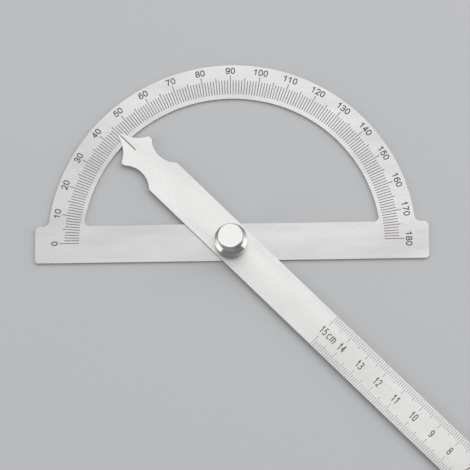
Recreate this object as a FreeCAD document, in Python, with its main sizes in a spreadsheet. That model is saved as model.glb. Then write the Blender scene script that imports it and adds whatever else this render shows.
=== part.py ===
# Stainless protractor with a swinging rule arm.
#
# A flat head carries a half-round arc of degrees on a straight bar. A steel rule with a pointer
# swings over it on a stud that is clinched flush into the bar, and a thumb nut clamps the rule.
#
# Frame: +Z up, millimetres. The pivot axis is Z, the head's back lies on Z = 0 and its bar runs
# along X. The arm is drawn along its own +X, pointer at -X, and is turned about the pivot.
import FreeCAD, Part
import math
import os
import Sketcher
from FreeCAD import Placement, Rotation, Vector

# Driving dimensions: alias, value in mm (degrees for an angle) and what it is.
SIZES = [
    # protractor head
    ("arc_radius", 75.0, "outer radius of the arc, about the pivot"),
    ("window_radius", 60.5, "inner radius of the arc, the round edge of the window"),
    ("bar_length", 160.0, "straight bar, end to end"),
    ("bar_width", 15.6, "straight bar, centred on the pivot"),
    ("plate_thickness", 1.0, "sheet that the head is cut from"),
    ("bar_corner_radius", 2.0, "upper corners of the bar's ends"),
    ("bar_foot_radius", 1.5, "lower corners of the bar's ends"),
    ("shoulder_radius", 2.4, "inside corner where the arc meets the bar"),
    ("window_corner_radius", 1.8, "the two corners of the window"),
    ("edge_round", 0.15, "upper edges of both sheet pieces, rounded by tumbling"),
    ("edge_break", 0.1, "lower edges of both sheet pieces, broken with a file"),
    # rule arm
    ("arm_width", 16.0, "strip that the arm is cut from"),
    ("arm_thickness", 1.0, "same strip"),
    ("arm_angle", -45.2, "direction of the rule from the pivot, from +X"),
    ("rule_start", 52.6, "pivot to the innermost mark of the rule"),
    ("rule_length", 150.0, "innermost mark to the arm's end, which is the rule's zero"),
    ("rule_corner_radius", 0.8, "corners of the arm's end"),
    ("tip_overlap", 4.1, "how far the pointer reaches over the arc"),
    ("tip_width", 1.9, "blunt end of the pointer, before it is rounded"),
    ("tip_radius", 0.7, "rounding of that end"),
    ("tip_length", 9.0, "end of the pointer to the front corner of the ears"),
    ("flank_radius", 12.6, "hollow flanks between the tip and the ears"),
    ("ear_radius", 1.2, "rounded corners of the ears"),
    ("neck_setback", 17.9, "end of the pointer to the waist of the neck"),
    ("neck_radius", 10.25, "round hollows each side of the neck"),
    ("neck_depth", 3.0, "depth of those hollows below the strip's edge"),
    ("neck_corner_radius", 1.0, "corner where a hollow meets the long edge"),
    ("index_length", 9.5, "index line cut along the pointer"),
    ("index_width", 0.4, "same line"),
    ("index_depth", 0.15, "same line"),
    # pivot stud
    ("stud_head_diameter", 8.0, "flat head, flush with the head's back"),
    ("stud_head_height", 0.5, "same head"),
    ("pivot_diameter", 6.0, "plain shoulder that the arm turns on"),
    ("pivot_clearance", 0.05, "radial, between the shoulder and the arm's hole"),
    ("pivot_relief", 0.1, "how far the shoulder ends below the arm's face"),
    ("thread_diameter", 4.0, "threaded end, modelled plain"),
    ("thread_length", 7.4, "threaded end above the shoulder"),
    ("thread_chamfer", 0.5, "tip of the thread"),
    ("thread_clearance", 0.05, "radial, between the thread and the nut"),
    ("slide_gap", 0.02, "film between faces that slide on each other"),
    # spring washer
    ("washer_diameter", 9.0, "washer under the nut"),
    ("washer_thickness", 0.5, "same washer, pressed flat"),
    ("washer_bore_clearance", 0.15, "radial, round the thread"),
    ("washer_rim_clearance", 0.15, "radial, inside the nut's recess"),
    # thumb nut
    ("nut_flange_diameter", 13.4, "broad foot of the nut"),
    ("nut_flange_height", 4.0, "same foot, up to its rim"),
    ("nut_grip_diameter", 10.0, "narrow top of the nut"),
    ("nut_height", 10.8, "whole nut"),
    ("nut_shoulder_height", 1.7, "slope from the foot's rim up to the grip"),
    ("nut_cove_radius", 0.8, "hollow corner between the slope and the grip"),
    ("nut_top_chamfer", 0.15, "rim of the closed top"),
    ("nut_foot_chamfer", 0.3, "bottom rim of the foot"),
    ("nut_roof", 2.0, "metal left above the blind bore"),
]

doc = FreeCAD.newDocument("protractor")
sheet = doc.addObject("Spreadsheet::Sheet", "sizes")


def fill_sheet():
    """Writes every driving dimension to its own cell, with an alias and a note."""
    for row, (alias, value, note) in enumerate(SIZES, start=1):
        sheet.set("A%d" % row, note)
        sheet.set("B%d" % row, str(value))
        sheet.setAlias("B%d" % row, alias)
    doc.recompute()


def size(alias):
    """The value of a driving dimension."""
    return float(sheet.get(alias))


# ---------------------------------------------------------------- sketch helpers
# The sketcher numbers its horizontal axis -1 and its vertical one -2, and (-1, 1) is the origin.
# A corner is a pair (edge, end), with end 1 for the start of an edge, 2 for its end, 3 for a centre.
AXES = {"across": -1, "up": -2}
ORIGIN = (-1, 1)


def new_body(name):
    """An empty body whose label is also the name of its file."""
    body = doc.addObject("PartDesign::Body", name)
    body.Label = name
    return body


def new_sketch(body, name, role, height=None):
    """A sketch on one of the body's own origin planes, raised by an expression if one is given."""
    sketch = body.newObject("Sketcher::SketchObject", name)
    plane = next(item for item in body.Origin.OriginFeatures if item.Role == role)
    sketch.AttachmentSupport = [(plane, "")]
    sketch.MapMode = "FlatFace"
    if height:
        sketch.setExpression("AttachmentOffset.Base.z", height)
    return sketch


def line(sketch, start, end):
    """A straight edge between two points, given as (x, y)."""
    segment = Part.LineSegment(Vector(start[0], start[1], 0), Vector(end[0], end[1], 0))
    return sketch.addGeometry(segment, False)


def arc(sketch, centre, start, end):
    """A round edge, anticlockwise about its centre from start to end."""
    radius = math.hypot(start[0] - centre[0], start[1] - centre[1])
    first = math.atan2(start[1] - centre[1], start[0] - centre[0])
    last = math.atan2(end[1] - centre[1], end[0] - centre[0])
    circle = Part.Circle(Vector(centre[0], centre[1], 0), Vector(0, 0, 1), radius)
    return sketch.addGeometry(Part.ArcOfCircle(circle, first, last), False)


def polygon(sketch, points):
    """A closed chain of straight edges through the points, joined at its corners."""
    edges = [line(sketch, points[i - 1], points[i]) for i in range(1, len(points))]
    edges.append(line(sketch, points[-1], points[0]))
    for i, edge in enumerate(edges):
        meet(sketch, (edges[i - 1], 2), (edge, 1))
    return edges


def meet(sketch, *corners):
    """Makes the given corners one point."""
    for other in corners[1:]:
        sketch.addConstraint(Sketcher.Constraint("Coincident", *corners[0], *other))


def level(sketch, *items):
    """Makes edges horizontal, or two corners level with each other when they are given as pairs."""
    if isinstance(items[0], tuple):
        sketch.addConstraint(Sketcher.Constraint("Horizontal", *items[0], *items[1]))
        return
    for item in items:
        sketch.addConstraint(Sketcher.Constraint("Horizontal", item))


def upright(sketch, *items):
    """Makes edges vertical."""
    for item in items:
        sketch.addConstraint(Sketcher.Constraint("Vertical", item))


def mirror(sketch, corner, other, axis):
    """Makes two corners mirror images about an axis; an edge between them is then square to it."""
    sketch.addConstraint(Sketcher.Constraint("Symmetric", *corner, *other, axis))


def measure(sketch, kind, items, formula):
    """A dimension that follows a formula of the sheet's aliases.

    kind is Distance, DistanceX, DistanceY, Radius or Diameter; items are its edges or corners.
    """
    value = evaluate(formula)
    index = sketch.addConstraint(Sketcher.Constraint(kind, *items, value))
    sketch.setExpression("Constraints[%d]" % index, formula)


def evaluate(formula):
    """The present value of a formula of the sheet's aliases."""
    value = sheet.evalExpression(formula.replace("sizes.", ""))
    return float(getattr(value, "Value", value))


# ---------------------------------------------------------------- feature helpers
def settle(sketch):
    """Stops unless the sketch solves with every point held and nothing said twice."""
    doc.recompute()
    if sketch.solve() != 0 or not sketch.FullyConstrained:
        raise RuntimeError(sketch.Name + " isn't fully constrained")


def pad(body, name, sketch, length):
    """Raises a sketch into a solid, with its length a formula."""
    settle(sketch)
    feature = body.newObject("PartDesign::Pad", name)
    feature.Profile = sketch
    feature.setExpression("Length", length)
    doc.recompute()
    return feature


def pocket(body, name, sketch, depth=None, upwards=False):
    """Cuts a sketch downwards, or upwards, by a formula or right through; it has to cut something."""
    settle(sketch)
    before = body.Shape.Volume
    feature = body.newObject("PartDesign::Pocket", name)
    feature.Profile = sketch
    feature.Reversed = upwards
    if depth:
        feature.setExpression("Length", depth)
    else:
        feature.Type = "ThroughAll"
    doc.recompute()
    if not body.Shape.Volume < before:
        raise RuntimeError(name + " cuts nothing")
    return feature


def revolve(body, name, sketch):
    """Turns a half profile, drawn in X and Z, once round the Z axis."""
    settle(sketch)
    feature = body.newObject("PartDesign::Revolution", name)
    feature.Profile = sketch
    feature.ReferenceAxis = (sketch, ["V_Axis"])
    feature.Angle = 360.0
    doc.recompute()
    return feature


def round_edges(body, name, base, edge_names, radius):
    """Fillets the named edges of the last feature, with the radius a formula."""
    feature = body.newObject("PartDesign::Fillet", name)
    feature.Base = (base, edge_names)
    feature.setExpression("Radius", radius)
    doc.recompute()
    return feature


def break_edges(body, name, base, edge_names, width):
    """Chamfers the named edges of the last feature, with the width a formula."""
    feature = body.newObject("PartDesign::Chamfer", name)
    feature.Base = (base, edge_names)
    feature.setExpression("Size", width)
    doc.recompute()
    return feature


def upright_edges(feature, places):
    """Names of the upright edges that stand at the given (x, y) places."""
    names = []
    for number, edge in enumerate(feature.Shape.Edges, start=1):
        low, high = edge.Vertexes[0].Point, edge.Vertexes[-1].Point
        if abs(low.z - high.z) < abs(low.x - high.x) + abs(low.y - high.y) + 1e-6:
            continue
        if any(math.hypot(low.x - x, low.y - y) < 1e-3 for x, y in places):
            names.append("Edge%d" % number)
    if len(names) != len(places):
        raise RuntimeError("%s: %d of %d corners found" % (feature.Name, len(names), len(places)))
    return names


def ring_edge(feature, radius, height):
    """Name of the round edge of a turned piece at a radius and a height."""
    for number, edge in enumerate(feature.Shape.Edges, start=1):
        curve = edge.Curve
        if not isinstance(curve, Part.Circle) or abs(curve.Axis.z) < 0.99:
            continue
        if abs(curve.Radius - radius) < 1e-4 and abs(curve.Center.z - height) < 1e-4:
            return "Edge%d" % number
    raise RuntimeError("%s has no edge at radius %g, height %g" % (feature.Name, radius, height))


def rim_edges(feature, height):
    """Names of the edges that lie flat at a height: the outlines of a sheet piece's face."""
    names = []
    for number, edge in enumerate(feature.Shape.Edges, start=1):
        box = edge.BoundBox
        if abs(box.ZMin - height) < 1e-6 and abs(box.ZMax - height) < 1e-6:
            names.append("Edge%d" % number)
    return names


def ease_rims(body, base, thickness):
    """Rounds the upper outlines of a sheet piece and breaks its lower ones."""
    top = rim_edges(base, size(thickness))
    rounded = round_edges(body, "tumbled_edges", base, top, "sizes.edge_round")
    return break_edges(body, "broken_edges", rounded, rim_edges(rounded, 0.0), "sizes.edge_break")


def round_hole(body, name, diameter, depth=None):
    """A round hole at the pivot, from the back to a depth, or right through."""
    sketch = new_sketch(body, name + "_circle", "XY_Plane")
    radius = evaluate(diameter) / 2
    circle = sketch.addGeometry(Part.Circle(Vector(0, 0, 0), Vector(0, 0, 1), radius), False)
    meet(sketch, (circle, 3), ORIGIN)
    measure(sketch, "Diameter", (circle,), diameter)
    return pocket(body, name, sketch, depth, upwards=True)


# ---------------------------------------------------------------- protractor head
def head_outline(body):
    """Outline of the head: a bar with a half-round arc on it, and the window inside the arc."""
    outline = new_sketch(body, "head_outline", "XY_Plane")
    end = size("bar_length") / 2
    side = size("bar_width") / 2
    foot = math.sqrt(size("arc_radius") ** 2 - side ** 2)
    sill = math.sqrt(size("window_radius") ** 2 - side ** 2)

    bottom = line(outline, (-end, -side), (end, -side))
    right = line(outline, (end, -side), (end, side))
    right_shoulder = line(outline, (end, side), (foot, side))
    rim = arc(outline, (0, 0), (foot, side), (-foot, side))
    left_shoulder = line(outline, (-foot, side), (-end, side))
    left = line(outline, (-end, side), (-end, -side))
    loop = [bottom, right, right_shoulder, rim, left_shoulder, left]
    for i, edge in enumerate(loop):
        meet(outline, (loop[i - 1], 2), (edge, 1))
    level(outline, right_shoulder, left_shoulder)
    upright(outline, left)
    level(outline, (right, 2), (left, 1))
    mirror(outline, (bottom, 1), (bottom, 2), AXES["up"])
    mirror(outline, (right, 1), (right, 2), AXES["across"])
    meet(outline, (rim, 3), ORIGIN)
    measure(outline, "DistanceX", (bottom, 1, bottom, 2), "sizes.bar_length")
    measure(outline, "DistanceY", (right, 1, right, 2), "sizes.bar_width")
    measure(outline, "Radius", (rim,), "sizes.arc_radius")

    chord = line(outline, (-sill, side), (sill, side))
    vault = arc(outline, (0, 0), (sill, side), (-sill, side))
    meet(outline, (chord, 2), (vault, 1))
    meet(outline, (vault, 2), (chord, 1))
    meet(outline, (vault, 3), ORIGIN)
    level(outline, chord)
    level(outline, (chord, 1), (right, 2))
    measure(outline, "Radius", (vault,), "sizes.window_radius")
    return outline, end, side, foot, sill


def make_head():
    """Sheet head with rounded corners, tumbled edges and a stepped hole for the stud."""
    body = new_body("protractor_head")
    outline, end, side, foot, sill = head_outline(body)
    plate = pad(body, "plate", outline, "sizes.plate_thickness")
    steps = [
        ("bar_corners", "sizes.bar_corner_radius", (end, side)),
        ("bar_feet", "sizes.bar_foot_radius", (end, -side)),
        ("shoulders", "sizes.shoulder_radius", (foot, side)),
        ("window_corners", "sizes.window_corner_radius", (sill, side)),
    ]
    last = plate
    for name, radius, (x, y) in steps:
        last = round_edges(body, name, last, upright_edges(last, [(x, y), (-x, y)]), radius)
    ease_rims(body, last, "plate_thickness")
    round_hole(body, "stud_hole", "sizes.pivot_diameter")
    round_hole(body, "stud_seat", "sizes.stud_head_diameter", "sizes.stud_head_height")
    return body


# ---------------------------------------------------------------- rule arm
# Pivot to the end of the pointer.
TIP_REACH = "sizes.window_radius + sizes.tip_overlap"


def arc_centre(start, end, radius, side):
    """Centre of an arc of the given radius through two points; side is 1 for left, -1 for right."""
    dx, dy = end[0] - start[0], end[1] - start[1]
    chord = math.hypot(dx, dy)
    height = math.sqrt(radius ** 2 - chord ** 2 / 4)
    return ((start[0] + end[0]) / 2 - side * height * dy / chord,
            (start[1] + end[1]) / 2 + side * height * dx / chord)


def arm_places():
    """The named places of the arm's upper outline, from the pivot: x along the arm, y across."""
    half = size("arm_width") / 2
    tip = -evaluate(TIP_REACH)
    waist = tip + size("neck_setback")
    centre = half + size("neck_radius") - size("neck_depth")
    reach = math.sqrt(size("neck_radius") ** 2 - (centre - half) ** 2)
    return {
        "end": (size("rule_start") + size("rule_length"), half),
        "neck": (waist + reach, half),
        "neck_centre": (waist, centre),
        "ear_back": (waist - reach, half),
        "ear_front": (tip + size("tip_length"), half),
        "tip": (tip, size("tip_width") / 2),
    }


def arm_side(outline, places, sign):
    """The edges of one long side of the arm, from its end to its tip; sign is 1 above, -1 below."""
    def at(name):
        return places[name][0], sign * places[name][1]

    def hollow(centre, back, front):
        """A hollow edge, drawn anticlockwise: front to back above, back to front below."""
        ends = (front, back) if sign > 0 else (back, front)
        return arc(outline, centre, *ends)

    front, back = (1, 2) if sign > 0 else (2, 1)
    flank_centre = arc_centre(at("ear_front"), at("tip"), size("flank_radius"), -sign)
    edge = line(outline, at("end"), at("neck"))
    neck = hollow(at("neck_centre"), at("neck"), at("ear_back"))
    ear = line(outline, at("ear_back"), at("ear_front"))
    flank = hollow(flank_centre, at("ear_front"), at("tip"))
    meet(outline, (edge, 2), (neck, back))
    meet(outline, (neck, front), (ear, 1))
    meet(outline, (ear, 2), (flank, back))
    level(outline, edge, ear)
    level(outline, (edge, 2), (ear, 1))
    measure(outline, "Radius", (neck,), "sizes.neck_radius")
    measure(outline, "Radius", (flank,), "sizes.flank_radius")
    measure(outline, "DistanceX", (ear, 2, *ORIGIN), TIP_REACH + " - sizes.tip_length")
    return {"edge": edge, "neck": neck, "ear": ear, "flank": flank, "tip_corner": (flank, front)}


def arm_outline(body):
    """Outline of the arm: a plain strip whose front end is cut to a pointer with ears and a neck."""
    outline = new_sketch(body, "arm_outline", "XY_Plane")
    places = arm_places()
    upper = arm_side(outline, places, 1)
    lower = arm_side(outline, places, -1)
    end_x, half = places["end"]
    tip_x, tip_half = places["tip"]
    end = line(outline, (end_x, -half), (end_x, half))
    tip = line(outline, (tip_x, tip_half), (tip_x, -tip_half))
    meet(outline, (end, 1), (lower["edge"], 1))
    meet(outline, (end, 2), (upper["edge"], 1))
    meet(outline, (tip, 1), upper["tip_corner"])
    meet(outline, (tip, 2), lower["tip_corner"])
    mirror(outline, (end, 1), (end, 2), AXES["across"])
    mirror(outline, (tip, 1), (tip, 2), AXES["across"])
    mirror(outline, (upper["neck"], 3), (lower["neck"], 3), AXES["across"])

    neck_height = "sizes.arm_width / 2 + sizes.neck_radius - sizes.neck_depth"
    measure(outline, "DistanceY", (end, 1, end, 2), "sizes.arm_width")
    measure(outline, "DistanceX", (*ORIGIN, end, 2), "sizes.rule_start + sizes.rule_length")
    measure(outline, "DistanceY", (tip, 2, tip, 1), "sizes.tip_width")
    measure(outline, "DistanceX", (tip, 1, *ORIGIN), TIP_REACH)
    measure(outline, "DistanceX", (tip, 1, upper["neck"], 3), "sizes.neck_setback")
    measure(outline, "DistanceY", (*ORIGIN, upper["neck"], 3), neck_height)
    return outline, places


def both_sides(places, *names):
    """The named places and their mirror images below the arm's centre line."""
    upper = [places[name] for name in names]
    return upper + [(x, -y) for x, y in upper]


def make_arm():
    """Rule arm: pointer, ears and neck at one end, a plain strip for the rule at the other."""
    body = new_body("rule_arm")
    outline, places = arm_outline(body)
    strip = pad(body, "strip", outline, "sizes.arm_thickness")
    steps = [
        ("rule_corners", "sizes.rule_corner_radius", ["end"]),
        ("neck_corners", "sizes.neck_corner_radius", ["neck"]),
        ("ear_corners", "sizes.ear_radius", ["ear_back", "ear_front"]),
        ("tip_corners", "sizes.tip_radius", ["tip"]),
    ]
    last = strip
    for name, radius, names in steps:
        last = round_edges(body, name, last, upright_edges(last, both_sides(places, *names)), radius)
    ease_rims(body, last, "arm_thickness")
    round_hole(body, "pivot_hole", "sizes.pivot_diameter + 2 * sizes.pivot_clearance")
    cut_index_line(body, places["tip"][0])
    place(body, "sizes.plate_thickness + sizes.slide_gap", "sizes.arm_angle")
    return body


def cut_index_line(body, tip):
    """The index line: a fine straight groove from the tip back along the pointer's middle."""
    groove = new_sketch(body, "index_groove", "XY_Plane", "sizes.arm_thickness")
    half = size("index_width") / 2
    back = tip + size("index_length")
    bottom, right, top, left = polygon(groove, [(tip, -half), (back, -half), (back, half), (tip, half)])
    level(groove, bottom, top)
    upright(groove, left)
    mirror(groove, (right, 1), (right, 2), AXES["across"])
    measure(groove, "DistanceX", (left, 2, *ORIGIN), TIP_REACH)
    measure(groove, "DistanceX", (bottom, 1, bottom, 2), "sizes.index_length")
    measure(groove, "DistanceY", (right, 1, right, 2), "sizes.index_width")
    pocket(body, "index_line", groove, "sizes.index_depth")


def place(item, height, angle=None):
    """Sets an object's height above the head's back, and its turn about the pivot, by formulas."""
    item.Placement = Placement(Vector(0, 0, 0), Rotation(Vector(0, 0, 1), 0))
    item.setExpression("Placement.Base.z", height)
    if angle:
        item.setExpression("Placement.Rotation.Angle", angle)
    doc.recompute()


# ---------------------------------------------------------------- turned pieces
def turned_profile(body, name, points):
    """A closed half profile of straight edges in X (radius) and Z.

    Each point is a pair of formulas, and each corner is held by the two of them; a radius of 0
    lies on the axis.
    """
    sketch = new_sketch(body, name, "XZ_Plane")
    edges = polygon(sketch, [(evaluate(radius), evaluate(height)) for radius, height in points])
    starts = [edges[-1]] + edges[:-1]
    for before, (radius, height) in zip(starts, points):
        hold(sketch, (before, 2), radius, height)
    return sketch


def hold(sketch, corner, radius, height):
    """Holds a corner of a half profile at a radius and a height, both formulas."""
    if radius == "0":
        sketch.addConstraint(Sketcher.Constraint("PointOnObject", *corner, AXES["up"]))
    else:
        measure(sketch, "DistanceX", (*ORIGIN, *corner), radius)
    if height == "0":
        sketch.addConstraint(Sketcher.Constraint("PointOnObject", *corner, AXES["across"]))
    else:
        measure(sketch, "DistanceY", (*ORIGIN, *corner), height)


def make_stud():
    """Pivot stud: flat head in the sheet, plain shoulder for the arm, and a threaded end."""
    body = new_body("pivot_stud")
    head = "sizes.stud_head_diameter / 2"
    pivot = "sizes.pivot_diameter / 2"
    thread = "sizes.thread_diameter / 2"
    seat = "sizes.stud_head_height"
    shoulder = ("sizes.plate_thickness + sizes.slide_gap + sizes.arm_thickness"
                " - sizes.pivot_relief")
    top = shoulder + " + sizes.thread_length"
    profile = turned_profile(body, "stud_profile", [
        ("0", "0"),
        (head, "0"),
        (head, seat),
        (pivot, seat),
        (pivot, shoulder),
        (thread, shoulder),
        (thread, top + " - sizes.thread_chamfer"),
        (thread + " - sizes.thread_chamfer", top),
        ("0", top),
    ])
    revolve(body, "stud_turning", profile)
    return body


def make_washer():
    """Spring washer, pressed flat between the arm and the roof of the nut's recess."""
    rim = doc.addObject("Part::Cylinder", "washer_rim")
    rim.setExpression("Radius", "sizes.washer_diameter / 2")
    rim.setExpression("Height", "sizes.washer_thickness")
    bore = doc.addObject("Part::Cylinder", "washer_bore")
    bore.setExpression("Radius", "sizes.thread_diameter / 2 + sizes.washer_bore_clearance")
    bore.setExpression("Height", "sizes.washer_thickness")
    washer = doc.addObject("Part::Cut", "spring_washer")
    washer.Label = "spring_washer"
    washer.Base = rim
    washer.Tool = bore
    place(washer, STACK_TOP)
    return washer


def make_nut():
    """Thumb nut: a broad foot, a slope up to a narrow grip, a closed top and a blind bore."""
    body = new_body("thumb_nut")
    foot = "sizes.nut_flange_diameter / 2"
    grip = "sizes.nut_grip_diameter / 2"
    bore = "sizes.thread_diameter / 2 + sizes.thread_clearance"
    recess = "sizes.washer_diameter / 2 + sizes.washer_rim_clearance"
    recess_roof = "sizes.washer_thickness + sizes.slide_gap"
    rim = "sizes.nut_flange_height"
    neck = rim + " + sizes.nut_shoulder_height"
    profile = turned_profile(body, "nut_profile", [
        (recess, "0"),
        (foot + " - sizes.nut_foot_chamfer", "0"),
        (foot, "sizes.nut_foot_chamfer"),
        (foot, rim),
        (grip, neck),
        (grip, "sizes.nut_height - sizes.nut_top_chamfer"),
        (grip + " - sizes.nut_top_chamfer", "sizes.nut_height"),
        ("0", "sizes.nut_height"),
        ("0", "sizes.nut_height - sizes.nut_roof"),
        (bore, "sizes.nut_height - sizes.nut_roof"),
        (bore, recess_roof),
        (recess, recess_roof),
    ])
    turning = revolve(body, "nut_turning", profile)
    corner = ring_edge(turning, evaluate(grip), evaluate(neck))
    round_edges(body, "cove", turning, [corner], "sizes.nut_cove_radius")
    place(body, STACK_TOP)
    return body


# Height of the arm's upper face, plus the film under the washer and the nut.
STACK_TOP = "sizes.plate_thickness + sizes.arm_thickness + 2 * sizes.slide_gap"


# ---------------------------------------------------------------- build and write
def check_document(pieces):
    """Stops if any object failed to recompute, or a piece isn't one valid solid."""
    for item in doc.Objects:
        if "Invalid" in item.State or "Error" in item.State:
            raise RuntimeError("%s: %s" % (item.Name, item.State))
    for piece in pieces:
        shape = piece.Shape
        if shape.isNull() or not shape.isValid() or len(shape.Solids) != 1:
            raise RuntimeError("%s isn't one valid solid" % piece.Label)


def main():
    fill_sheet()
    pieces = [make_head(), make_arm(), make_stud(), make_washer(), make_nut()]
    doc.recompute()
    check_document(pieces)
    os.makedirs("parts", exist_ok=True)
    for piece in pieces:
        piece.Shape.exportStep("parts/%s.step" % piece.Label)
        print("%-16s %9.1f mm3" % (piece.Label, piece.Shape.Volume))


main()
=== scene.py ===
import math

import bmesh
import bpy
from mathutils import Matrix, Vector
from mathutils.geometry import convex_hull_2d, delaunay_2d_cdt


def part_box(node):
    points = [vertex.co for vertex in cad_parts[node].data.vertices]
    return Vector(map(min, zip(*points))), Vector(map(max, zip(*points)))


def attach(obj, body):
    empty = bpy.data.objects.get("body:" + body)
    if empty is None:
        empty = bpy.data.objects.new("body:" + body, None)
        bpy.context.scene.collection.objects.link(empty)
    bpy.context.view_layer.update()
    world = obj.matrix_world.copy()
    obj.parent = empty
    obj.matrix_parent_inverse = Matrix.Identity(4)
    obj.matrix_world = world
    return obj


MM = 0.001

# Angle scale on the head. Its centre lies a little above the pivot, towards the arc.
DEGREES = 180
SCALE_RISE = 0.5 * MM
TICK_INNER = 62.0 * MM
TICK_OUTER = {10: 70.0 * MM, 5: 69.0 * MM, 1: 68.0 * MM}
TICK_WIDTH = 0.34 * MM
DEGREE_NUMBER_RADIUS = 72.0 * MM

# Rule on the arm: distance from the pivot to its innermost mark, and its length to the arm's end.
ARM_ANGLE = math.radians(-45.2)
RULE_START = 52.6 * MM
RULE_LENGTH = 150.0 * MM
RULE_HALF_WIDTH = 8.0 * MM
RULE_TICK = {10: 5.0 * MM, 5: 4.0 * MM, 1: 3.0 * MM}
RULE_TICK_WIDTH = 0.20 * MM
RULE_EDGE_MARGIN = 0.25 * MM

# Pointer's index line, cut into the arm.
INDEX_START = -64.2 * MM
INDEX_END = -55.1 * MM
INDEX_WIDTH = 0.4 * MM

# How far etched marks stand above the steel, and how far they reach into it.
ETCH_RISE = 0.010 * MM
ETCH_ROOT = 0.020 * MM

# Lettering: height of a digit, stroke, digit's width and step to the next, all outside sizes.
DEGREE_LETTERING = {"height": 2.72 * MM, "stroke": 0.46 * MM, "width": 1.90 * MM, "step": 2.10 * MM}
RULE_LETTERING = {"height": 3.4 * MM, "stroke": 0.38 * MM, "width": 1.42 * MM, "step": 1.68 * MM}
# Letters of the rule's unit: left side, past the innermost mark, and width.
UNIT_LETTERS = {"c": (2.35 * MM, 1.55 * MM), "m": (4.2 * MM, 2.2 * MM)}

# Colours, linear.
HEAD_COLOUR = (0.62, 0.612, 0.612)
ARM_COLOUR = (0.73, 0.722, 0.708)
STUD_COLOUR = (0.66, 0.66, 0.655)
WASHER_COLOUR = (0.50, 0.50, 0.51)
NUT_COLOUR = (0.60, 0.595, 0.58)
DEGREE_TICK_COLOUR = (0.255, 0.222, 0.205)
DEGREE_NUMBER_COLOUR = (0.150, 0.122, 0.105)
RULE_TICK_COLOUR = (0.270, 0.255, 0.240)
RULE_NUMBER_COLOUR = (0.105, 0.095, 0.085)
FLOOR_COLOUR = (0.60, 0.605, 0.615)

# Half the floor's side, and how far it lies under the head's back.
FLOOR_HALF = 6.0
FLOOR_DROP = 0.02 * MM

# Camera: place in metres, turn about X, Y and Z in degrees, lens and sensor in millimetres.
CAMERA_PLACE = (0.04498, -0.27938, 1.16389)
CAMERA_TURN = (13.6243, 2.2338, -0.3762)
CAMERA_LENS = 225.96
SENSOR_WIDTH = 36.0

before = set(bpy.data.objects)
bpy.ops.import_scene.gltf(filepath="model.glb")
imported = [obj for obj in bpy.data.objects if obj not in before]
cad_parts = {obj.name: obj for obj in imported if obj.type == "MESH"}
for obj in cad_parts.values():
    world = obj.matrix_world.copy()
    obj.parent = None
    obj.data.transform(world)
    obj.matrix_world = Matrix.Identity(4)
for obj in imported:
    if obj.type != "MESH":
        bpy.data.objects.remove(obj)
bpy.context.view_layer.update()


# ---------------------------------------------------------------- lettering
# A glyph is a list of strokes in a box one unit wide and high, each a list of points along its
# centre line. A closed stroke ends where it starts. A bow has a point every BOW_STEP degrees,
# and the smaller BOW_SQUARENESS is, the squarer it is.
BOW_STEP = 12.0
BOW_SQUARENESS = 0.86


def bow(x, y, half_width, half_height, start, end):
    """Points on a slightly squared ellipse, from one angle to another in degrees."""
    steps = max(2, round(abs(end - start) / BOW_STEP))
    points = []
    for i in range(steps + 1):
        angle = math.radians(start + (end - start) * i / steps)
        across = math.copysign(abs(math.cos(angle)) ** BOW_SQUARENESS, math.cos(angle))
        up = math.copysign(abs(math.sin(angle)) ** BOW_SQUARENESS, math.sin(angle))
        points.append((x + half_width * across, y + half_height * up))
    return points


def bend(start, middle, end, steps=8):
    """Points on a smooth curve from start to end that is pulled towards middle."""
    points = []
    for i in range(steps + 1):
        t = i / steps
        weights = ((1 - t) ** 2, 2 * t * (1 - t), t ** 2)
        points.append(tuple(sum(w * p[axis] for w, p in zip(weights, (start, middle, end)))
                            for axis in (0, 1)))
    return points


def turned_over(strokes):
    """The same strokes turned half round in their box."""
    return [[(1 - x, 1 - y) for x, y in stroke] for stroke in strokes]


def arch(left, right, foot, crown):
    """One arch of the letter m, from its left foot over the crown to its right foot."""
    half = (right - left) / 2
    spring = crown - half * 0.8
    return [(left, spring)] + bow(left + half, spring, half, crown - spring, 180, 0) + [(right, foot)]


SIX = [bow(0.5, 0.30, 0.5, 0.30, 90, 450), bow(0.56, 0.40, 0.56, 0.60, 190, 50)]
GLYPHS = {
    "0": [bow(0.5, 0.5, 0.5, 0.5, 90, 450)],
    "1": [[(0.58, 1.0), (0.58, 0.0)], bend((0.58, 1.0), (0.44, 0.83), (0.12, 0.74))],
    "2": [bow(0.48, 0.72, 0.46, 0.28, 168, -30) + [(0.02, 0.0)], [(0.0, 0.0), (1.0, 0.0)]],
    "3": [bow(0.46, 0.755, 0.44, 0.245, 160, -90), bow(0.46, 0.255, 0.52, 0.255, 90, -160),
          [(0.32, 0.51), (0.46, 0.51)]],
    "4": [[(0.74, 0.0), (0.74, 1.0)], [(0.74, 1.0), (0.0, 0.29)], [(0.0, 0.29), (1.0, 0.29)]],
    "5": [[(0.90, 1.0), (0.22, 1.0)], [(0.22, 1.0), (0.08, 0.48)],
          bow(0.46, 0.33, 0.52, 0.33, 145, -155)],
    "6": SIX,
    "7": [[(0.0, 1.0), (1.0, 1.0)], bend((1.0, 1.0), (0.46, 0.52), (0.32, 0.0))],
    "8": [bow(0.5, 0.755, 0.43, 0.245, 90, 450), bow(0.5, 0.255, 0.5, 0.255, 90, 450)],
    "9": turned_over(SIX),
    "c": [bow(0.5, 0.37, 0.5, 0.37, 42, 318)],
    "m": [[(0.0, 0.0), (0.0, 0.74)], arch(0.0, 0.5, 0.0, 0.74), arch(0.5, 1.0, 0.0, 0.74)],
}


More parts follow.
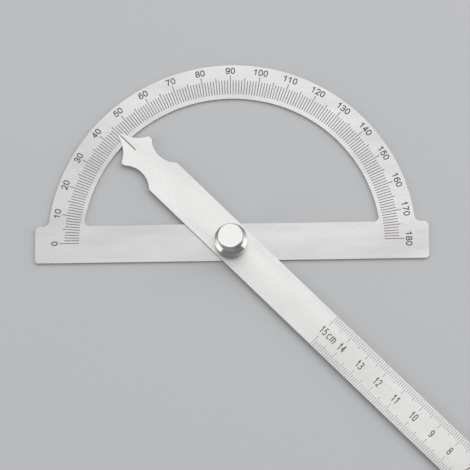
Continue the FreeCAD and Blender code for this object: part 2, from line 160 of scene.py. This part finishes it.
def label_strokes(text, lettering):
    """Centre lines of a line of digits, centred on the origin with the text reading along +X."""
    stroke = lettering["stroke"]
    width = lettering["width"] - stroke
    height = lettering["height"] - stroke
    first = -lettering["step"] * (len(text) - 1) / 2 - width / 2
    strokes = []
    for i, letter in enumerate(text):
        left = first + i * lettering["step"]
        for points in GLYPHS[letter]:
            strokes.append([(left + x * width, (y - 0.5) * height) for x, y in points])
    return strokes


def unit_strokes(lettering, letters):
    """Centre lines of the unit's letters, each with its left side and its width."""
    stroke = lettering["stroke"]
    height = lettering["height"] - stroke
    strokes = []
    for letter, (left, width) in letters.items():
        for points in GLYPHS[letter]:
            strokes.append([(left + stroke / 2 + x * (width - stroke), (y - 0.5) * height)
                            for x, y in points])
    return strokes


# ---------------------------------------------------------------- etched marks
# Sides of a stroke's half-round end, and how near two corners, in millimetres, count as one.
CAP_STEPS = 6
MERGE_GAP = 0.0001


def stroke_sides(points, half_width, closed):
    """Points to the left and right of a stroke's centre line, mitred at its corners."""
    count = len(points)
    lefts, rights = [], []
    for i, point in enumerate(points):
        before = points[i - 1] if i or closed else point
        after = points[(i + 1) % count] if i < count - 1 or closed else point
        incoming = (Vector(point) - Vector(before)).normalized()
        outgoing = (Vector(after) - Vector(point)).normalized()
        along = (incoming + outgoing).normalized()
        reach = half_width / max(0.5, along.dot(outgoing if outgoing.length else incoming))
        side = Vector((-along.y, along.x)) * reach
        lefts.append(Vector(point) + side)
        rights.append(Vector(point) - side)
    return lefts, rights


def half_disc(centre, start):
    """Corners of a half disc about centre, anticlockwise from start to the point across from it."""
    arm = start - centre
    return [centre + Matrix.Rotation(math.pi * i / CAP_STEPS, 2) @ arm for i in range(CAP_STEPS + 1)]


def stroke_faces(points, half_width, rounded):
    """Flat faces that make up one stroke, each a list of corners in anticlockwise order."""
    closed = (Vector(points[0]) - Vector(points[-1])).length < half_width / 10
    if closed:
        points = points[:-1]
    lefts, rights = stroke_sides(points, half_width, closed)
    faces = []
    for i in range(len(points) if closed else len(points) - 1):
        j = (i + 1) % len(points)
        corners = [rights[i], rights[j], lefts[j], lefts[i]]
        faces.append([corners[k] for k in convex_hull_2d(corners)])
    if rounded and not closed:
        faces.append(half_disc(Vector(points[0]), lefts[0]))
        faces.append(half_disc(Vector(points[-1]), rights[-1]))
    return faces


def inside(face, point):
    """Whether a point lies in a convex face whose corners run anticlockwise."""
    return all((face[k] - face[k - 1]).cross(point - face[k - 1]) > 0 for k in range(len(face)))


def merged_cells(faces):
    """Overlapping convex faces as one net of cells without overlaps: (corners, cells)."""
    if len(faces) == 1:
        return faces[0], [range(len(faces[0]))]
    scaled = [[corner / MM for corner in face] for face in faces]
    loops, first = [], 0
    for face in scaled:
        loops.append(list(range(first, first + len(face))))
        first += len(face)
    net = delaunay_2d_cdt([corner for face in scaled for corner in face], [], loops, 0, MERGE_GAP)
    places = net[0]
    cells = []
    for cell in net[2]:
        middle = sum((places[i] for i in cell), Vector((0, 0))) / len(cell)
        if any(inside(face, middle) for face in scaled):
            cells.append(cell)
    return [place * MM for place in places], cells


def etch(mesh, strokes, half_width, place, rounded=True):
    """Adds strokes to a bmesh as one thin closed solid, put in place by a matrix."""
    faces = [face for points in strokes for face in stroke_faces(points, half_width, rounded)]
    corners, cells = merged_cells(faces)
    used = sorted({i for cell in cells for i in cell})
    top, low = ({i: mesh.verts.new(place @ Vector((*corners[i], level))) for i in used}
                for level in (ETCH_RISE, -ETCH_ROOT))
    rims = {(cell[k - 1], cell[k]) for cell in cells for k in range(len(cell))}
    for cell in cells:
        mesh.faces.new([top[i] for i in cell])
        mesh.faces.new([low[i] for i in reversed(cell)])
    for i, j in sorted(rims):
        if (j, i) not in rims:
            mesh.faces.new((top[i], low[i], low[j], top[j]))


def etched_piece(name, mesh, body, material):
    """Makes a piece of etched marks from a bmesh, and lets it ride on a body."""
    bmesh.ops.recalc_face_normals(mesh, faces=mesh.faces)
    data = bpy.data.meshes.new(name)
    mesh.to_mesh(data)
    mesh.free()
    data.materials.append(material)
    piece = bpy.data.objects.new(name, data)
    bpy.context.scene.collection.objects.link(piece)
    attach(piece, body)


def grade(mark):
    """How long a mark is on either scale: every tenth, every fifth or a single one."""
    return 10 if mark % 10 == 0 else 5 if mark % 5 == 0 else 1


def degree_place(degree, radius, height):
    """Matrix that stands a drawing on the angle scale, its +Y away from the pivot."""
    turn = Matrix.Rotation(math.radians(90 - degree), 4, "Z")
    return Matrix.Translation((0, SCALE_RISE, height)) @ turn @ Matrix.Translation((0, radius, 0))


def make_degree_scale(tick_material, number_material):
    """Ticks for each degree, and a number at every tenth, on the head's face."""
    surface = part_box("protractor_head")[1].z
    ticks = bmesh.new()
    numbers = bmesh.new()
    for degree in range(DEGREES + 1):
        tick = [(0, TICK_INNER), (0, TICK_OUTER[grade(degree)])]
        etch(ticks, [tick], TICK_WIDTH / 2, degree_place(degree, 0, surface), rounded=False)
        if degree % 10 == 0:
            etch(numbers, label_strokes(str(degree), DEGREE_LETTERING),
                 DEGREE_LETTERING["stroke"] / 2, degree_place(degree, DEGREE_NUMBER_RADIUS, surface))
    etched_piece("degree_ticks", ticks, "head", tick_material)
    etched_piece("degree_numbers", numbers, "head", number_material)


def arm_place(along, height):
    """Matrix that puts a drawing on the arm, its +X away from the pivot along the rule."""
    return Matrix.Rotation(ARM_ANGLE, 4, "Z") @ Matrix.Translation((along, 0, height))


def make_rule(tick_material, number_material):
    """Millimetre ticks on both edges of the arm, with a number at every centimetre."""
    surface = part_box("rule_arm")[1].z
    end = RULE_START + RULE_LENGTH
    edge = RULE_HALF_WIDTH - RULE_EDGE_MARGIN
    ticks = bmesh.new()
    numbers = bmesh.new()
    for mark in range(1, round(RULE_LENGTH / MM) + 1):
        place = arm_place(end - mark * MM, surface)
        inner = RULE_HALF_WIDTH - RULE_TICK[grade(mark)]
        for side in (1, -1):
            tick = [(0, side * inner), (0, side * edge)]
            etch(ticks, [tick], RULE_TICK_WIDTH / 2, place, rounded=False)
        if mark % 10 == 0:
            etch(numbers, label_strokes(str(mark // 10), RULE_LETTERING),
                 RULE_LETTERING["stroke"] / 2, place)
    etch(numbers, unit_strokes(RULE_LETTERING, UNIT_LETTERS),
         RULE_LETTERING["stroke"] / 2, arm_place(RULE_START, surface))
    etched_piece("rule_ticks", ticks, "arm", tick_material)
    etched_piece("rule_numbers", numbers, "arm", number_material)


def make_index_fill(material):
    """Dark filling of the index line, flush with the arm's face."""
    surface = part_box("rule_arm")[1].z
    fill = bmesh.new()
    line = [(INDEX_START, 0), (INDEX_END, 0)]
    etch(fill, [line], INDEX_WIDTH / 2, arm_place(0, surface), rounded=False)
    etched_piece("index_line_fill", fill, "arm", material)


# ---------------------------------------------------------------- shader helpers
def shader_node(tree, kind, inputs=None, **settings):
    """A node with its settings and inputs; an input given as a socket is linked to it."""
    item = tree.nodes.new(kind)
    for name, value in settings.items():
        setattr(item, name, value)
    for name, value in (inputs or {}).items():
        if isinstance(value, bpy.types.NodeSocket):
            tree.links.new(value, item.inputs[name])
        else:
            item.inputs[name].default_value = value
    return item


def new_material(name):
    """A material with an empty principled shader: (material, tree, shader)."""
    material = bpy.data.materials.new(name)
    material.use_nodes = True
    tree = material.node_tree
    return material, tree, tree.nodes["Principled BSDF"]


def object_point(tree, scale, turn=0.0):
    """Object coordinates, turned about Z and then scaled by (along, across, up)."""
    place = shader_node(tree, "ShaderNodeTexCoord").outputs["Object"]
    turned = shader_node(tree, "ShaderNodeMapping", {"Vector": place, "Rotation": (0, 0, turn)})
    return shader_node(tree, "ShaderNodeMapping",
                       {"Vector": turned.outputs[0], "Scale": scale}).outputs[0]


def noise(tree, scale, turn=0.0, detail=3.0, rough=0.5):
    """Smooth noise from 0 to 1, with its scale in features per metre."""
    point = object_point(tree, scale, turn)
    return shader_node(tree, "ShaderNodeTexNoise", {
        "Vector": point, "Scale": 1.0, "Detail": detail, "Roughness": rough}).outputs["Fac"]


def spread(tree, value, low, high, start=0.3, end=0.7):
    """Maps a value that runs from start to end onto low to high, held at both ends."""
    return shader_node(tree, "ShaderNodeMapRange", {
        "Value": value, "From Min": start, "From Max": end,
        "To Min": low, "To Max": high}).outputs["Result"]


def maths(tree, operation, first, second=0.0):
    """One arithmetic step on sockets or numbers."""
    item = tree.nodes.new("ShaderNodeMath")
    item.operation = operation
    for socket, value in zip(item.inputs, (first, second)):
        if isinstance(value, bpy.types.NodeSocket):
            tree.links.new(value, socket)
        else:
            socket.default_value = value
    return item.outputs[0]


def tinted(tree, colour, share):
    """The colour times a share that varies over the surface."""
    return shader_node(tree, "ShaderNodeVectorMath", {0: colour, 1: share},
                       operation="MULTIPLY").outputs[0]


# ---------------------------------------------------------------- materials
def steel_sheet(name, colour, grain_turn, roughness, streaks, smudges):
    """Brushed stainless sheet: grain along one direction, fine mottling and soft dull smudges.

    The last two say how strongly the grain and the smudges change the colour.
    """
    material, tree, shader = new_material(name)
    broad = noise(tree, (12, 420, 420), grain_turn, detail=3.0)
    grain = noise(tree, (60, 1400, 1400), grain_turn, detail=4.0)
    fine = noise(tree, (400, 9000, 9000), grain_turn, detail=2.0)
    smudge = noise(tree, (22, 75, 75), grain_turn, detail=3.0)
    mottle = noise(tree, (1100, 1100, 1100), detail=2.0)
    shade = maths(tree, "MULTIPLY", spread(tree, grain, 1 - streaks, 1 + streaks),
                  spread(tree, broad, 1 - streaks, 1 + streaks))
    shade = maths(tree, "MULTIPLY", shade, spread(tree, mottle, 0.975, 1.02))
    shade = maths(tree, "MULTIPLY", shade, spread(tree, fine, 0.95, 1.05))
    shade = maths(tree, "MULTIPLY", shade, spread(tree, smudge, 1.0, 1 - smudges, 0.48, 0.68))
    tree.links.new(tinted(tree, colour, shade), shader.inputs["Base Color"])
    wear = maths(tree, "ADD", spread(tree, grain, -0.04, 0.04), spread(tree, smudge, -0.03, 0.05))
    tree.links.new(maths(tree, "ADD", wear, roughness), shader.inputs["Roughness"])
    height = maths(tree, "ADD", maths(tree, "MULTIPLY", grain, 0.6), maths(tree, "MULTIPLY", fine, 0.4))
    bump = shader_node(tree, "ShaderNodeBump", {"Strength": 0.4, "Distance": 0.00002,
                                                "Height": height})
    tree.links.new(bump.outputs[0], shader.inputs["Normal"])
    shader.inputs["Metallic"].default_value = 1.0
    return material


def turned_metal(name, colour, roughness):
    """Turned metal: fine tool rings about the pivot axis on its flat faces."""
    material, tree, shader = new_material(name)
    place = shader_node(tree, "ShaderNodeTexCoord").outputs["Object"]
    flat = shader_node(tree, "ShaderNodeVectorMath", {0: place, 1: (1.0, 1.0, 0.0)},
                       operation="MULTIPLY").outputs[0]
    radius = shader_node(tree, "ShaderNodeVectorMath", {0: flat}, operation="LENGTH").outputs["Value"]
    rings = shader_node(tree, "ShaderNodeTexNoise", {"W": radius, "Scale": 5200.0, "Detail": 2.0},
                        noise_dimensions="1D").outputs["Fac"]
    cloud = noise(tree, (250, 250, 250), detail=2.0)
    shade = maths(tree, "MULTIPLY", spread(tree, rings, 0.97, 1.03), spread(tree, cloud, 0.98, 1.02))
    tree.links.new(tinted(tree, colour, shade), shader.inputs["Base Color"])
    wear = spread(tree, cloud, -0.02, 0.03)
    tree.links.new(maths(tree, "ADD", wear, roughness), shader.inputs["Roughness"])
    bump = shader_node(tree, "ShaderNodeBump", {"Strength": 0.3, "Distance": 0.00001,
                                                "Height": rings})
    tree.links.new(bump.outputs[0], shader.inputs["Normal"])
    shader.inputs["Metallic"].default_value = 1.0
    return material


def etched_steel(name, colour):
    """Dark etched mark, a little uneven, as a laser leaves it."""
    material, tree, shader = new_material(name)
    grit = noise(tree, (4000, 4000, 4000), detail=2.0)
    patch = noise(tree, (180, 180, 180), detail=1.0)
    shade = maths(tree, "MULTIPLY", spread(tree, grit, 0.8, 1.2), spread(tree, patch, 0.9, 1.1))
    tree.links.new(tinted(tree, colour, shade), shader.inputs["Base Color"])
    tree.links.new(spread(tree, grit, 0.5, 0.7), shader.inputs["Roughness"])
    bump = shader_node(tree, "ShaderNodeBump", {"Strength": 0.4, "Distance": 0.000005,
                                                "Height": grit})
    tree.links.new(bump.outputs[0], shader.inputs["Normal"])
    shader.inputs["Specular IOR Level"].default_value = 0.3
    return material


def dress_nodes():
    """Gives each CAD node its finish."""
    finishes = {
        "protractor_head": steel_sheet("head_steel", HEAD_COLOUR, 0.0, 0.36, 0.022, 0.06),
        "rule_arm": steel_sheet("arm_steel", ARM_COLOUR, -ARM_ANGLE, 0.38, 0.010, 0.035),
        "pivot_stud": turned_metal("stud_steel", STUD_COLOUR, 0.32),
        "spring_washer": turned_metal("washer_steel", WASHER_COLOUR, 0.28),
        "thumb_nut": turned_metal("nut_plating", NUT_COLOUR, 0.16),
    }
    for name, material in finishes.items():
        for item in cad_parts[name].material_slots:
            item.material = material


# ---------------------------------------------------------------- floor, light and camera
def make_floor():
    """Plain pale floor that the protractor lies on."""
    mesh = bmesh.new()
    corners = [mesh.verts.new((x * FLOOR_HALF, y * FLOOR_HALF, -FLOOR_DROP)) for x, y in
               ((-1, -1), (1, -1), (1, 1), (-1, 1))]
    mesh.faces.new(corners)
    data = bpy.data.meshes.new("floor")
    mesh.to_mesh(data)
    mesh.free()
    material, tree, shader = new_material("floor_paper")
    speckle = noise(tree, (900, 900, 900), detail=2.0)
    tree.links.new(tinted(tree, FLOOR_COLOUR, spread(tree, speckle, 0.985, 1.015)),
                   shader.inputs["Base Color"])
    shader.inputs["Roughness"].default_value = 0.9
    shader.inputs["Specular IOR Level"].default_value = 0.1
    data.materials.append(material)
    floor = bpy.data.objects.new("floor", data)
    bpy.context.scene.collection.objects.link(floor)


def area_light(name, place, aim, width, length, radiance):
    """A soft box at a place, aimed at a point, as bright as its radiance says."""
    light = bpy.data.lights.new(name, "AREA")
    light.shape = "RECTANGLE"
    light.size = width
    light.size_y = length
    light.energy = radiance * math.pi * width * length
    lamp = bpy.data.objects.new(name, light)
    bpy.context.scene.collection.objects.link(lamp)
    lamp.location = place
    lamp.rotation_euler = (Vector(aim) - Vector(place)).to_track_quat("-Z", "Y").to_euler()


def light_studio():
    """Soft boxes overhead towards the back, and at both sides, in a plain dim room."""
    area_light("key_box", (0.38, 0.95, 1.35), (0.05, 0.3, 0.0), 2.4, 2.0, 1.25)
    area_light("left_box", (-1.5, -0.30, 0.66), (0.0, 0.0, 0.60), 1.8, 1.3, 1.4)
    area_light("right_box", (1.5, 0.20, 0.66), (0.0, 0.0, 0.60), 2.0, 1.3, 1.4)
    world = bpy.data.worlds.new("room")
    world.use_nodes = True
    background = world.node_tree.nodes["Background"]
    background.inputs["Color"].default_value = (0.97, 0.985, 1.0, 1.0)
    background.inputs["Strength"].default_value = 0.28
    bpy.context.scene.world = world


def make_camera():
    """Camera almost overhead, a little to the front."""
    data = bpy.data.cameras.new("camera")
    data.lens = CAMERA_LENS
    data.sensor_width = SENSOR_WIDTH
    data.clip_start = 0.01
    data.clip_end = 50.0
    camera = bpy.data.objects.new("camera", data)
    camera.location = CAMERA_PLACE
    camera.rotation_euler = [math.radians(angle) for angle in CAMERA_TURN]
    bpy.context.scene.collection.objects.link(camera)
    bpy.context.scene.camera = camera


make_camera()
make_floor()
light_studio()
dress_nodes()
rule_number_etch = etched_steel("rule_number_etch", RULE_NUMBER_COLOUR)
make_degree_scale(etched_steel("degree_tick_etch", DEGREE_TICK_COLOUR),
                  etched_steel("degree_number_etch", DEGREE_NUMBER_COLOUR))
make_rule(etched_steel("rule_tick_etch", RULE_TICK_COLOUR), rule_number_etch)
make_index_fill(rule_number_etch)
bpy.context.scene.view_settings.view_transform = "Standard"
